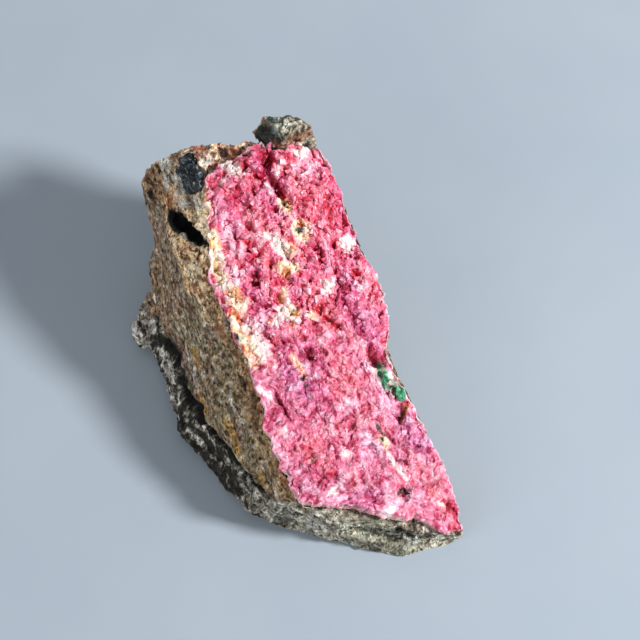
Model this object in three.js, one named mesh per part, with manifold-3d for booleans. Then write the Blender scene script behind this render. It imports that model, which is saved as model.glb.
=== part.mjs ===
// Cobaltoan calcite on matrix: a hand specimen about 79 mm long.
//
// A broken wedge of grey-brown host rock, high at the back and low at the front, carries a thin
// crust of drusy pink crystals on its sloping top, the deck. The left wall is a steep broken face
// with a dark mineral seam along its foot, a small open vug and a pocket of black heterogenite
// near its top. A dark knob of rock stands behind the crust, and two small growths of malachite
// sit in hollows of the crust's right edge. The block rests on one flat broken face.
//
// Frame: millimetres, +Z up, +Y from the low front to the high back, +X to the right. The origin
// is the centre of the bounding box's underside.

import * as THREE from "three";
import { ImprovedNoise } from "three/addons/math/ImprovedNoise.js";
import { mergeVertices } from "three/addons/utils/BufferGeometryUtils.js";
import Module from "manifold-3d";

const wasm = await Module();
wasm.setup();

// ---------------------------------------------------------------- driving dimensions (mm)

// The specimen's edge lines, each at the same seven stations from front to back.
const DECK_LEFT = [
  [-5.5, -27, 14], [-6.5, -14.5, 17.5], [-5.5, -3.5, 21], [-7, 8, 25],
  [-6.5, 17.5, 28.6], [-2.5, 31, 32.4], [-4.5, 38.5, 30],
];
const DECK_MIDDLE = [
  [8, -34, 11], [6, -21.5, 14], [7, -10.5, 17.5], [6, 2, 21.6],
  [7, 12.5, 26], [9, 27, 31.2], [9.5, 35, 32.8],
];
const DECK_RIGHT = [
  [21.5, -39, 4.5], [22, -28, 8.6], [21, -15.5, 12.4], [20.5, -3.5, 16.2],
  [21.5, 9, 21], [20.5, 23, 27.5], [19.5, 32.5, 30.3],
];
const WALL_BREAK = [
  [-7, -25.5, 11.5], [-8.5, -13.5, 14.5], [-7.5, -3.5, 18], [-9, 9, 22.6],
  [-11, 19, 24], [-10.5, 33, 23.5], [-12, 40.5, 21.5],
];
const WALL_MIDDLE = [
  [-9.5, -24, 8.5], [-12, -13, 10], [-12.5, -1.5, 12.5], [-13, 10.5, 14.5],
  [-13, 23, 15.5], [-12.5, 31, 15], [-12, 34.5, 13.5],
];
const WALL_TOE = [
  [-11.5, -21.5, 5.5], [-15, -10, 6], [-16, 0.5, 6.5], [-16, 12.5, 7],
  [-16, 21.5, 7], [-16, 26, 6.8], [-15.5, 27.5, 6.4],
];
const SEAM_GROOVE = [
  [-12.5, -21, 4], [-16, -10, 4], [-17, 1, 4.5], [-17, 12.5, 4.6],
  [-17.5, 20.5, 4.8], [-17, 25, 5], [-17, 26.5, 5],
];
const SEAM_CREST = [
  [-14, -20.5, 2.6], [-17.5, -9, 3], [-19, 2, 3], [-19, 12.5, 3],
  [-19.5, 17.5, 3.4], [-20, 21, 3.8], [-20, 23, 4.2],
];
const FOOT_LEFT = [
  [-13, -20, 0], [-17, -9.5, 0], [-18.5, 1.5, 0], [-18, 12.5, 0],
  [-18.5, 18, 0], [-19, 21, 0], [-19.5, 23, 0],
];
const FOOT_INNER = [
  [-4.5, -28.5, 0], [-5, -18, 0], [-6, -6, 0], [-7, 5, 0],
  [-8, 15, 0], [-9, 24, 0], [-11.5, 31, 0],
];
const FOOT_MIDDLE = [
  [10, -37.5, 0], [8, -26, 0], [6, -13, 0], [5, 0, 0],
  [4, 12, 0], [3, 23, 0], [1, 33.5, 0],
];
const FOOT_RIGHT = [
  [19.5, -38.5, 0], [20, -29, 0], [19, -16.5, 0], [17.8, -4.5, 0],
  [19, 8, 0], [18, 21, 0], [16.5, 31.5, 0],
];
const WALL_RIGHT = [
  [21, -38.8, 2.2], [21.4, -29.5, 4], [20.4, -17, 6], [19, -5, 8],
  [20.4, 8, 11], [19, 21.5, 15], [18, 33, 17],
];

const STATIONS = 40; // steps of the loft from front to back
const FRONT_BULGE = 1.2; // how far the front face swells out of its rim
const BACK_BULGE = 1.2;
const CAP_RINGS = 4;
const ROUGH_COARSE = { size: 9, height: 0.6 }; // relief of the broken rock
const ROUGH_FINE = { size: 2.8, height: 0.3 };

const SEAT_GAP = 0.35; // clearance between a mineral growth and the rock that carries it
const CRUST_EDGE = 1.2; // crust thickness at its left and right edges
const CRUST_MIDDLE = 2.4; // crust thickness along its middle
const CRUST_BACK = { left: 0.835, right: 0.985, reach: 0.4 }; // where the crust ends, along the loft
const ROCK_RISE = { from: 0.03, to: 0.07 }; // where the rock comes up to the surface behind it
const CRUST_STEPS = { along: 46, across: 15 };
const CRYSTAL_TIP = 0.9; // how far a crystal tip may stand over its neighbours
const CRYSTAL_SHIFT = 0.9; // how far a tip may stand aside of an even row
const HOLLOW = { size: 7, height: 0.9 }; // swells and hollows of the crust
const LUMP_SIZE = 0.45; // size of the relief on a rounded growth, as a share of its half size

// Rounded growths and cavities: centre, half sizes along the long axis, across it and upward, and
// the directions of the long axis and of up.
const KNOB = {
  at: [14.3, 34.2, 31.5],
  radii: [5.1, 2.7, 4.2],
  along: [0.93, -0.37, -0.12],
  up: [0, 0.1, 1],
};
const SEAM_NODULE = {
  at: [-20, 19.8, 2.9],
  radii: [3, 1.9, 2.6],
  along: [0.3, 1, 0],
  up: [0, 0, 1],
};
const VUG = {
  at: [-7.8, 25.6, 26],
  radii: [4.9, 1.3, 2.4],
  along: [0.29, -0.92, 0.24],
  up: [-0.75, 0, 0.66],
};
const HETEROGENITE = {
  at: [-4, 34.2, 29.6],
  radii: [2.9, 2, 1.1],
  along: [0.15, 1, 0],
  up: [-0.66, 0.05, 0.75],
};
const MALACHITE_LOWER = {
  at: [19, -13.1, 13.5],
  radii: [1.3, 0.9, 0.8],
  along: [0.2, -1, -0.3],
  up: [0.3, -0.3, 0.9],
};
const MALACHITE_UPPER = {
  at: [17.2, -10, 15.1],
  radii: [1.5, 0.6, 0.7],
  along: [0.33, 0.92, 0.2],
  up: [0.2, -0.4, 0.9],
};

// ---------------------------------------------------------------- shared shape helpers

THREE.MathUtils.seededRandom(41);
const random = () => THREE.MathUtils.seededRandom();
const perlin = new ImprovedNoise();
const smooth = (low, high, x) => THREE.MathUtils.smoothstep(x, low, high);

function noiseAt(point, size, seed) {
  return perlin.noise(point.x / size + seed, point.y / size + 1.7 * seed, point.z / size - seed);
}

function rail(stations) {
  const points = stations.map((station) => new THREE.Vector3(...station));
  return new THREE.CatmullRomCurve3(points, false, "centripetal");
}

function manifoldOf(positions, indices) {
  const geometry = new THREE.BufferGeometry();
  geometry.setAttribute("position", new THREE.Float32BufferAttribute(positions, 3));
  geometry.setIndex(indices);
  const merged = mergeVertices(geometry, 1e-4);
  const vertProperties = merged.getAttribute("position").array;
  const triVerts = new Uint32Array(merged.index.array);
  return new wasm.Manifold(new wasm.Mesh({ numProp: 3, vertProperties, triVerts }));
}

function geometryOf(solid) {
  const mesh = solid.getMesh();
  const geometry = new THREE.BufferGeometry();
  geometry.setAttribute("position", new THREE.BufferAttribute(mesh.vertProperties, 3));
  geometry.setIndex(new THREE.BufferAttribute(mesh.triVerts, 1));
  geometry.computeVertexNormals();
  return geometry;
}

// A rough ellipsoid. It is widened evenly by grow; lumps is the depth of its relief.
function lump({ at, radii, along, up }, { grow = 0, lumps = 0.12, detail = 2, seed = 5 } = {}) {
  const x = new THREE.Vector3(...along).normalize();
  const y = new THREE.Vector3(...up).cross(x).normalize();
  const place = new THREE.Matrix4().makeBasis(x, y, x.clone().cross(y)).setPosition(...at);
  const ball = new THREE.IcosahedronGeometry(1, detail).getAttribute("position");
  const positions = [];
  const indices = [];
  const size = new THREE.Vector3(...radii).addScalar(grow);
  for (let i = 0; i < ball.count; i += 1) {
    const point = new THREE.Vector3().fromBufferAttribute(ball, i);
    const relief = 1 + (lumps / Math.min(...radii)) * noiseAt(point, LUMP_SIZE, seed);
    point.multiplyScalar(relief).multiply(size).applyMatrix4(place);
    positions.push(point.x, point.y, Math.max(point.z, 0));
    indices.push(i);
  }
  return manifoldOf(positions, indices);
}

// ---------------------------------------------------------------- the sloping deck

const deckLeft = rail(DECK_LEFT);
const deckMiddle = rail(DECK_MIDDLE);
const deckRight = rail(DECK_RIGHT);

// A point of the deck's top surface: t runs from front to back, u from the left edge to the right.
function deckTop(t, u) {
  const point = deckLeft.getPoint(t).multiplyScalar((1 - u) * (1 - 2 * u));
  point.addScaledVector(deckMiddle.getPoint(t), 4 * u * (1 - u));
  return point.addScaledVector(deckRight.getPoint(t), u * (2 * u - 1));
}

function crustBack(u) {
  return THREE.MathUtils.lerp(CRUST_BACK.left, CRUST_BACK.right, Math.min(1, u / CRUST_BACK.reach));
}

function crustThickness(u) {
  return THREE.MathUtils.lerp(CRUST_EDGE, CRUST_MIDDLE, Math.sin(Math.PI * u));
}

// The rock's own surface under the crust. Behind the crust it rises to the deck's top surface.
function rockDeck(t, u) {
  const point = deckTop(t, u);
  const end = crustBack(u);
  const risen = smooth(end + ROCK_RISE.from, end + ROCK_RISE.to, t);
  point.z -= (crustThickness(u) + SEAT_GAP) * (1 - risen);
  return point;
}

// ---------------------------------------------------------------- the host rock

// Moves a point of broken rock by noise, up to the ceiling. A point of the flat underside stays
// on it.
function roughen(point, ceiling = Infinity) {
  const moved = point.clone();
  for (const [axis, seed] of [["x", 3.1], ["y", 11.3], ["z", 23.9]]) {
    const coarse = ROUGH_COARSE.height * noiseAt(point, ROUGH_COARSE.size, seed);
    const fine = ROUGH_FINE.height * noiseAt(point, ROUGH_FINE.size, seed + 40);
    moved[axis] += 2 * (coarse + fine);
  }
  moved.z = point.z > 0 ? THREE.MathUtils.clamp(moved.z, 0, ceiling) : 0;
  return moved;
}

// The walls of one cross-section, in order from the left edge of the deck, down the left wall,
// along the underside and up the right wall, with the steps that each stretch is cut into.
const WALLS = [
  [rail(WALL_BREAK), 3],
  [rail(WALL_MIDDLE), 3],
  [rail(WALL_TOE), 3],
  [rail(SEAM_GROOVE), 1],
  [rail(SEAM_CREST), 2],
  [rail(FOOT_LEFT), 1],
  [rail(FOOT_INNER), 2],
  [rail(FOOT_MIDDLE), 2],
  [rail(FOOT_RIGHT), 2],
  [rail(WALL_RIGHT), 2],
];
const RIGHT_EDGE_STEPS = 3;
const DECK_STEPS = 12;

function section(t) {
  const left = rockDeck(t, 0);
  const right = rockDeck(t, 1);
  const ring = [];
  let from = left;
  const stretch = (to, steps) => {
    for (let i = 0; i < steps; i += 1) {
      const point = from.clone().lerp(to, i / steps);
      const side = point.distanceTo(left) < point.distanceTo(right) ? left : right;
      ring.push(roughen(point, side.z));
    }
    from = to;
  };
  for (const [line, steps] of WALLS) stretch(line.getPoint(t), steps);
  stretch(right, RIGHT_EDGE_STEPS);
  ring[0] = left;
  for (let i = 0; i < DECK_STEPS; i += 1) ring.push(rockDeck(t, 1 - i / DECK_STEPS));
  return ring;
}

// Closes one end of the loft with rings that shrink to its middle and swell outward by bulge.
function capRings(rim, outward, bulge) {
  const middle = rim.reduce((sum, p) => sum.add(p), new THREE.Vector3()).divideScalar(rim.length);
  const rings = [];
  for (let i = 1; i < CAP_RINGS; i += 1) {
    const share = 1 - i / CAP_RINGS;
    rings.push(rim.map((p) => {
      const point = middle.clone().lerp(p, share);
      return roughen(point.addScaledVector(outward, bulge * (1 - share * share)));
    }));
  }
  return { rings, tip: middle.clone().addScaledVector(outward, bulge) };
}

function makeRock() {
  const sections = [];
  for (let i = 0; i <= STATIONS; i += 1) sections.push(section(i / STATIONS));
  const front = capRings(sections[0], new THREE.Vector3(-0.45, -0.9, 0), FRONT_BULGE);
  const back = capRings(sections[STATIONS], new THREE.Vector3(0.1, 1, 0), BACK_BULGE);
  const rings = [...front.rings.reverse(), ...sections, ...back.rings];
  const around = sections[0].length;
  const last = (rings.length - 1) * around;
  const frontTip = rings.length * around;
  const indices = [];
  for (let j = 0; j < around; j += 1) {
    const next = (j + 1) % around;
    for (let ring = 0; ring < last; ring += around) {
      indices.push(ring + j, ring + around + j, ring + next);
      indices.push(ring + next, ring + around + j, ring + around + next);
    }
    indices.push(frontTip, j, next);
    indices.push(frontTip + 1, last + next, last + j);
  }
  const points = [...rings.flat(), front.tip, back.tip];
  return manifoldOf(points.flatMap((p) => p.toArray()), indices);
}

// ---------------------------------------------------------------- the crystal crust

// The crust's swells, and a random shift and height for each crystal tip inside its outline.
function crystalTip(surface, inside) {
  const shift = inside ? CRYSTAL_SHIFT : 0;
  surface.x += shift * (random() - 0.5);
  surface.y += shift * (random() - 0.5);
  surface.z += HOLLOW.height * noiseAt(surface, HOLLOW.size, 19) + CRYSTAL_TIP * (random() - 0.6);
}

function makeCrust() {
  const { along, across } = CRUST_STEPS;
  const top = [];
  const under = [];
  for (let i = 0; i <= along; i += 1) {
    for (let j = 0; j <= across; j += 1) {
      const u = j / across;
      const t = (i / along) * crustBack(u);
      const seat = rockDeck(t, u);
      seat.z += SEAT_GAP;
      const surface = deckTop(t, u);
      crystalTip(surface, i > 0 && i < along && j > 0 && j < across);
      surface.z = Math.max(surface.z, seat.z + 0.5);
      top.push(surface);
      under.push(seat);
    }
  }
  const row = across + 1;
  const half = top.length;
  const indices = [];
  for (let i = 0; i < along; i += 1) {
    for (let j = 0; j < across; j += 1) {
      const a = i * row + j;
      indices.push(a, a + 1, a + row, a + 1, a + row + 1, a + row);
      const b = a + half;
      indices.push(b, b + row, b + 1, b + 1, b + row, b + row + 1);
    }
  }
  const rim = [];
  for (let j = 0; j < across; j += 1) rim.push(j);
  for (let i = 0; i < along; i += 1) rim.push(i * row + across);
  for (let j = across; j > 0; j -= 1) rim.push(along * row + j);
  for (let i = along; i > 0; i -= 1) rim.push(i * row);
  rim.forEach((a, i) => {
    const b = rim[(i + 1) % rim.length];
    indices.push(half + a, half + b, a, a, half + b, b);
  });
  return manifoldOf([...top, ...under].flatMap((p) => p.toArray()), indices);
}

// ---------------------------------------------------------------- assembly

const KNOB_RELIEF = { lumps: 1, detail: 4, seed: 9 };
const growths = [HETEROGENITE, MALACHITE_LOWER, MALACHITE_UPPER];
const seats = growths.map((growth) => lump(growth, { grow: SEAT_GAP }));

let rock = makeRock().add(lump(KNOB, KNOB_RELIEF)).add(lump(SEAM_NODULE, { lumps: 0.6, detail: 3 }));
rock = rock.subtract(lump(VUG, { lumps: 0.4, detail: 3 }));
let crust = makeCrust().subtract(lump(KNOB, { ...KNOB_RELIEF, grow: SEAT_GAP }));
for (const seat of seats) {
  rock = rock.subtract(seat);
  crust = crust.subtract(seat);
}

const specimen = new THREE.Group();

function place(name, solid, finish, color, roughness) {
  const material = new THREE.MeshStandardMaterial({ name: finish, color, roughness, metalness: 0 });
  const mesh = new THREE.Mesh(geometryOf(solid), material);
  mesh.name = name;
  specimen.add(mesh);
}

place("matrix_rock", rock, "host_rock", 0x7d6c58, 0.9);
place("calcite_druse", crust, "pink_calcite", 0xdd7fa3, 0.35);
place("heterogenite_patch", lump(HETEROGENITE), "black_heterogenite", 0x1c2027, 0.35);
place("malachite_lower", lump(MALACHITE_LOWER), "green_malachite", 0x1f8a5c, 0.5);
place("malachite_upper", lump(MALACHITE_UPPER), "green_malachite", 0x1f8a5c, 0.5);

// The origin goes to the centre of the bounding box's underside.
const bounds = new THREE.Box3().setFromObject(specimen);
const middle = bounds.getCenter(new THREE.Vector3());
specimen.position.set(-middle.x, -middle.y, -bounds.min.z);

export default specimen;
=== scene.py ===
"""The looks of a cobaltoan calcite specimen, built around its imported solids.

A rough block of host rock carries a crust of some ten thousand small pink crystals, a pocket of
blue-black heterogenite and two growths of green malachite. Shapes are worked out in millimetres
and written to Blender in metres.
"""

import math

import bpy
import numpy as np
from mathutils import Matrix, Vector, noise
from mathutils.bvhtree import BVHTree
from mathutils.kdtree import KDTree


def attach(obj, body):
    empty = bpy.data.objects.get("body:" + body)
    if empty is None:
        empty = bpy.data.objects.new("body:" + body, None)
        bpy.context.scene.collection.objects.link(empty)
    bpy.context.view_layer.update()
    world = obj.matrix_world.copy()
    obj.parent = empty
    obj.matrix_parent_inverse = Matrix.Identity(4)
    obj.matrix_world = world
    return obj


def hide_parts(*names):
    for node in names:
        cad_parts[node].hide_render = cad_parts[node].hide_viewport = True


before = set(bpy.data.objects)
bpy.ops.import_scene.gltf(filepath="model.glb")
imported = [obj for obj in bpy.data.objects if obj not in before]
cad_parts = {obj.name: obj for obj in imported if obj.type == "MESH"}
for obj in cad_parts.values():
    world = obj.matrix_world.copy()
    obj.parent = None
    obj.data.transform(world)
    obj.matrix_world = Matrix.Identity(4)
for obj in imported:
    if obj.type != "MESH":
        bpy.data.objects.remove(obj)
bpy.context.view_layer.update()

MM = 0.001
ROCK = "matrix_rock"
DRUSE = "calcite_druse"

# ---------------- driving dimensions (mm)

VIEW_AZIMUTH = -20.0  # degrees, 0 looks along +Y
VIEW_ELEVATION = 63.0
VIEW_DISTANCE = 420.0
VIEW_TARGET = (12.9, 11.8, 0.0)
LENS = 124.3
SENSOR = 36.0
NEAREST_SEEN = 10.0

LIGHTS = {
    "key": dict(azimuth=60, elevation=34, distance=1000, size=160, watts=16, colour=(1, 0.98, 0.95)),
    "fill": dict(azimuth=-75, elevation=27, distance=1200, size=900, watts=4.5, colour=(1, 0.97, 0.93)),
}
SKY_COLOUR = (0.95, 0.97, 1.0, 1.0)
SKY_STRENGTH = 0.42
FLOOR_REACH = 3000.0

ROCK_VOXEL = 0.34
CRUST_VOXEL = 0.25
MAP_GAP = 0.6  # between the parts of a map for baked colours
MAP_WIDTHS = 60  # widths of a map that are tried
CRUST_SINK = 0.5  # how far the crust's underside drops towards the rock
ROCK_SINK = 0.9  # how far the rock drops under the crust, which hides it

POWERS_OF_X, POWERS_OF_Y = 4, 7  # in the smooth height fitted to the crust's top

CRYSTAL_SEED = 7
CRYSTAL_TRIES = 6  # random places for each square as wide as the spacing, about one is kept
CRYSTAL_RISE = 0.25  # how far the crystals stand above the crust's base
CRYSTAL_BREADTH = 0.94  # half a crystal's breadth, in shares of half its height
CRYSTAL_SQUARE = 1.1  # half the breadth of its square on the map, in the same shares
LIGHT_SPREAD = 1.6  # how far light spreads beneath the druse's surface
WHOLE = ((0.75, 1.15), (0.9, 1.25), (0.75, 1.2))  # least and most stretch along each axis
BLADED = ((0.2, 0.4), (0.6, 1.0), (1.0, 1.5))

# The layers of crystals: half a crystal's height and their spacing, in millimetres, how far one
# leans, how deep its middle lies in shares of half its height, the least upward part of the
# surface's normal where it grows, how much paler than the crust it may be and its stretch.
CRYSTALS = {
    "blocks": dict(half=0.7, spacing=1.5, lean=0.5, sunk=0.92, steep=0.15, pale=0.1, shape=WHOLE),
    "wedges": dict(half=0.45, spacing=1.1, lean=0.65, sunk=0.82, steep=0.15, pale=0.2, shape=WHOLE),
    "grains": dict(half=0.26, spacing=0.8, lean=0.8, sunk=0.55, steep=-0.4, pale=0.4, shape=WHOLE),
    "blades": dict(half=0.45, spacing=1.7, lean=1.2, sunk=0.4, steep=0.15, pale=0.6, shape=BLADED),
}

# ---------------- arrays and meshes


def numbers(items, name, width, kind=np.float32):
    """A row for each item, with the numbers that it holds under a name."""
    found = np.empty(len(items) * width, kind)
    items.foreach_get(name, found)
    return found.reshape(-1, width).astype(float if kind is np.float32 else int)


def points_of(mesh):
    """The vertices of a mesh in millimetres."""
    return numbers(mesh.vertices, "co", 3) / MM


def move_points(mesh, points):
    mesh.vertices.foreach_set("co", (points * MM).astype(np.float32).ravel())
    mesh.update()


def normals_of(mesh):
    return numbers(mesh.vertex_normals, "vector", 3)


def paint(mesh, name, values, domain="POINT"):
    """Stores one number, or one colour, for each point or face under a name that materials read."""
    values = np.asarray(values, np.float32)
    if values.ndim == 1:
        mesh.attributes.new(name, "FLOAT", domain).data.foreach_set("value", values)
        return
    colours = np.concatenate([values, np.ones((len(values), 1), np.float32)], 1)
    mesh.attributes.new(name, "FLOAT_COLOR", domain).data.foreach_set("color", colours.ravel())


def unit(vectors):
    """Vectors in the same directions with a length of 1."""
    return vectors / np.linalg.norm(vectors, axis=1, keepdims=True)


def blurred(values, edges, rounds):
    """Values at the vertices, averaged with their neighbours again and again."""
    ends = np.concatenate([edges, edges[:, ::-1]])
    count = np.maximum(np.bincount(ends[:, 0], minlength=len(values)), 1)
    values = np.atleast_2d(values.T)
    for _ in range(rounds):
        sums = [np.bincount(ends[:, 0], row[ends[:, 1]], len(row)) for row in values]
        values = 0.5 * values + 0.5 * np.array(sums) / count
    return values.T if len(values) > 1 else values[0]


def edges_of(mesh):
    return numbers(mesh.edges, "vertices", 2, np.int32)


def placed(name, data):
    """A new object in the scene."""
    thing = bpy.data.objects.new(name, data)
    bpy.context.scene.collection.objects.link(thing)
    return thing


def remeshed(node, name, voxel):
    """A new piece with a node's shape, meshed evenly and finely enough to take relief."""
    piece = placed(name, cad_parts[node].data.copy())
    piece.data.materials.clear()
    for layer in list(piece.data.uv_layers):
        piece.data.uv_layers.remove(layer)
    remesh = piece.modifiers.new("even", "REMESH")
    remesh.mode = "VOXEL"
    remesh.voxel_size = voxel * MM
    evaluated = piece.evaluated_get(bpy.context.evaluated_depsgraph_get())
    mesh = bpy.data.meshes.new_from_object(evaluated)
    mesh.name = name
    piece.modifiers.clear()
    piece.data = mesh
    return piece


def mesh_from(name, points, faces, starts):
    """A mesh from points in millimetres, the corners of its faces and where each face starts."""
    mesh = bpy.data.meshes.new(name)
    mesh.vertices.add(len(points))
    mesh.loops.add(len(faces))
    mesh.polygons.add(len(starts))
    mesh.loops.foreach_set("vertex_index", faces.astype(np.int32))
    mesh.polygons.foreach_set("loop_start", starts.astype(np.int32))
    mesh.update(calc_edges=True)
    mesh.shade_flat()
    move_points(mesh, points)
    return mesh


def rows_of(sizes, width):
    """Lower left corners of rectangles set in rows, tallest first, and the square they need."""
    corners = np.zeros((len(sizes), 2))
    across = up = tallest = widest = 0.0
    for index in np.argsort(-sizes[:, 1]):
        if across and across + sizes[index, 0] > width:
            across, up, tallest = 0.0, up + tallest, 0.0
        corners[index] = across, up
        across += sizes[index, 0]
        tallest = max(tallest, sizes[index, 1])
        widest = max(widest, across)
    return max(widest, up + tallest), corners


def box_map(mesh, outward):
    """Lays a mesh out for baked colours as it looks from the six sides of a box."""
    points = points_of(mesh)
    corners = numbers(mesh.loops, "vertex_index", 1, np.int32)[:, 0]
    counts = numbers(mesh.polygons, "loop_total", 1, np.int32)[:, 0]
    face_of = np.repeat(np.arange(len(counts)), counts)
    facing = np.stack([np.bincount(face_of, row[corners]) for row in outward.T], 1)
    axis = np.argmax(np.abs(facing), axis=1)
    side = 2 * axis + (facing[np.arange(len(facing)), axis] > 0)
    side = side[face_of]
    flat = np.zeros((len(corners), 2))
    sizes = np.zeros((6, 2))
    for chart in range(6):
        here = side == chart
        if here.any():
            flat[here] = points[corners[here]][:, ((1, 2), (0, 2), (1, 0))[chart // 2]]
            flat[here] -= flat[here].min(0)
            sizes[chart] = flat[here].max(0) + MAP_GAP
    longest = sizes[:, 0].max()
    tries = [rows_of(sizes, width) for width in np.linspace(longest, 3 * longest, MAP_WIDTHS)]
    square, places = min(tries, key=lambda found: found[0])
    give_map(mesh, (flat + places[side] + MAP_GAP / 2) / square)


def give_map(mesh, places):
    """Stores a place in the unit square for each corner of a mesh, for baked colours."""
    mesh.uv_layers.new(name="OFBake").uv.foreach_set("vector", places.astype(np.float32).ravel())


def finish_piece(piece, node, material):
    piece.data.materials.append(material)
    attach(piece, "root")
    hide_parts(node)


# ---------------- fields of noise


def field(points, size, seed, octaves=4, roughness=0.5):
    """Smooth noise from about -1 to 1 whose largest features are size millimetres wide."""
    start = np.array([seed * 7.31, seed * -3.17, seed * 5.73])
    total = np.zeros(len(points))
    weight = 1.0
    for octave in range(octaves):
        places = (points * 2**octave / size + start).tolist()
        total += weight * np.array([noise.noise(place) for place in places])
        weight *= roughness
    return total


def cells(points, size, seed):
    """For each point, how far it is from the nearest and second nearest seed point of cells."""
    start = np.array([seed * 2.71, seed * 9.13, seed * -4.39])
    found = [noise.voronoi(place)[0][:2] for place in (points / size + start).tolist()]
    return np.array(found).T


def ramp(values, low, high):
    """0 below low, 1 above high and a smooth rise between; low may be above high."""
    share = np.clip((values - low) / (high - low), 0, 1)
    return share * share * (3 - 2 * share)


def evened(grid, rounds):
    """A grid of numbers, each averaged with its neighbours again and again."""
    for _ in range(rounds):
        for axis in (0, 1):
            grid = 0.5 * grid + 0.25 * (np.roll(grid, 1, axis) + np.roll(grid, -1, axis))
    return grid


def level_of(points, square=0.4, rounds=14):
    """A function for the mean height of a cloud of points around each place, seen from above."""
    low = points[:, :2].min(0) - rounds * square
    size = ((points[:, :2].max(0) - low) / square).astype(int) + rounds

    def squares(places):
        return tuple(((places[:, :2] - low) / square).astype(int).T)

    total, count = np.zeros(size), np.zeros(size)
    np.add.at(total, squares(points), points[:, 2])
    np.add.at(count, squares(points), 1)
    mean = evened(total, rounds) / np.maximum(evened(count, rounds), 1e-9)
    return lambda places: mean[squares(places)]


# ---------------- materials


def srgb(red, green, blue):
    """A colour as seen on a screen, 0 to 255, as the linear values that materials use."""
    shares = [value / 255 for value in (red, green, blue)]
    return tuple(s / 12.92 if s <= 0.04045 else ((s + 0.055) / 1.055) ** 2.4 for s in shares)


def palette(**colours):
    return {name: srgb(*levels) for name, levels in colours.items()}


def layered(colours, shades, layers):
    """Colours under layers of a palette's named colours.

    A layer has a name, a strength and, where it isn't even, values with the ends of their ramp.
    """
    for name, strength, *spread in layers:
        share = strength * ramp(*spread) if spread else strength
        colours = colours + share[:, None] * (np.array(shades[name]) - colours)
    return colours


class Finish:
    """A material made of nodes, with a short call for each kind of node that it uses.

    Its patterns lie in the object's own space, whose points first turn tilt degrees about X.
    """

    def __init__(self, name, tilt=0.0, **values):
        self.material = bpy.data.materials.new(name)
        self.material.use_nodes = True
        self.tree = self.material.node_tree
        self.shader = self.tree.nodes["Principled BSDF"]
        for socket, value in values.items():
            self.give(socket.replace("_", " "), value)
        turn = (math.radians(tilt), 0, 0)
        place = self.node("TexCoord", "Object")
        inputs = {"Vector": place, "Rotation": turn, "Scale": (1 / MM,) * 3}
        self.place = self.node("Mapping", "Vector", inputs)

    def link(self, source, target):
        """Gives a node's input a number, a colour, a vector or another node's output."""
        if isinstance(source, bpy.types.NodeSocket):
            self.tree.links.new(source, target)
        else:
            target.default_value = (*source, 1) if target.type == "RGBA" else source

    def give(self, name, source):
        self.link(source, self.shader.inputs[name])

    def node(self, kind, output, inputs=None, **settings):
        """An output of a new node; a node's inputs go by their names or numbers."""
        node = self.tree.nodes.new("ShaderNode" + kind)
        for name, value in settings.items():
            setattr(node, name, value)
        for name, source in (inputs or {}).items():
            self.link(source, node.inputs[name])
        return node.outputs[output]

    def math(self, operation, a, b):
        return self.node("Math", 0, {0: a, 1: b}, operation=operation)

    def read(self, name, output="Fac"):
        """What paint() stored under a name: Fac for a number, Color for a colour."""
        return self.node("Attribute", output, attribute_name=name)

    def noise(self, size, detail=3.0, roughness=0.55, stretch=(1, 1, 1), warp=0.0):
        """Noise from 0 to 1 whose features are size millimetres wide, times stretch."""
        squeeze = {0: self.place, 1: tuple(1 / s for s in stretch)}
        place = self.node("VectorMath", "Vector", squeeze, operation="MULTIPLY")
        inputs = {"Vector": place, "Scale": 1 / size, "Detail": detail}
        inputs.update({"Roughness": roughness, "Distortion": warp})
        return self.node("TexNoise", "Fac", inputs)

    def grains(self, size, output="Distance"):
        """Cells about size millimetres wide: the distance from their middles, or their colours."""
        return self.node("TexVoronoi", output, {"Vector": self.place, "Scale": 1 / size})

    def steps(self, value, *stops):
        """A number or colour for each value: stops are (value, result), low to high."""
        node = self.tree.nodes.new("ShaderNodeValToRGB")
        self.link(value, node.inputs[0])
        elements = node.color_ramp.elements
        while len(elements) < len(stops):
            elements.new(0.5)
        for element, (position, result) in zip(elements, stops):
            element.position = position
            result = result if isinstance(result, tuple) else (result,) * 3
            element.color = (*result, 1)
        return node.outputs["Color"]

    def mix(self, share, a, b, blend="MIX"):
        return self.node("Mix", 2, {0: share, 6: a, 7: b}, data_type="RGBA", blend_type=blend)

    def deepened(self, colour, power):
        """A colour to a power: above 1 it deepens, as the colour of clear crystal does with depth."""
        return self.node("Gamma", "Color", {"Color": colour, "Gamma": power})

    def bump(self, height, depth):
        """Fine relief of the surface, depth millimetres deep."""
        self.give("Normal", self.node("Bump", "Normal", {"Height": height, "Distance": depth * MM}))


# ---------------- the host rock

# The rock is bedded parallel to its deck: along it, across it and through it.
BED_ALONG = np.array([0.02, 0.954, 0.299])
BED_ACROSS = np.array([0.99, 0.02, -0.139])
BED_THROUGH = np.cross(BED_ACROSS, BED_ALONG)
BED_DIP = 17.4  # degrees
LEDGE_STEP = 2.3
GROOVE_DEPTH = 1.3
PIT_DEPTH = 1.2
VUG_DEPTH = 1.0  # on top of the solid's own vug

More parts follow.
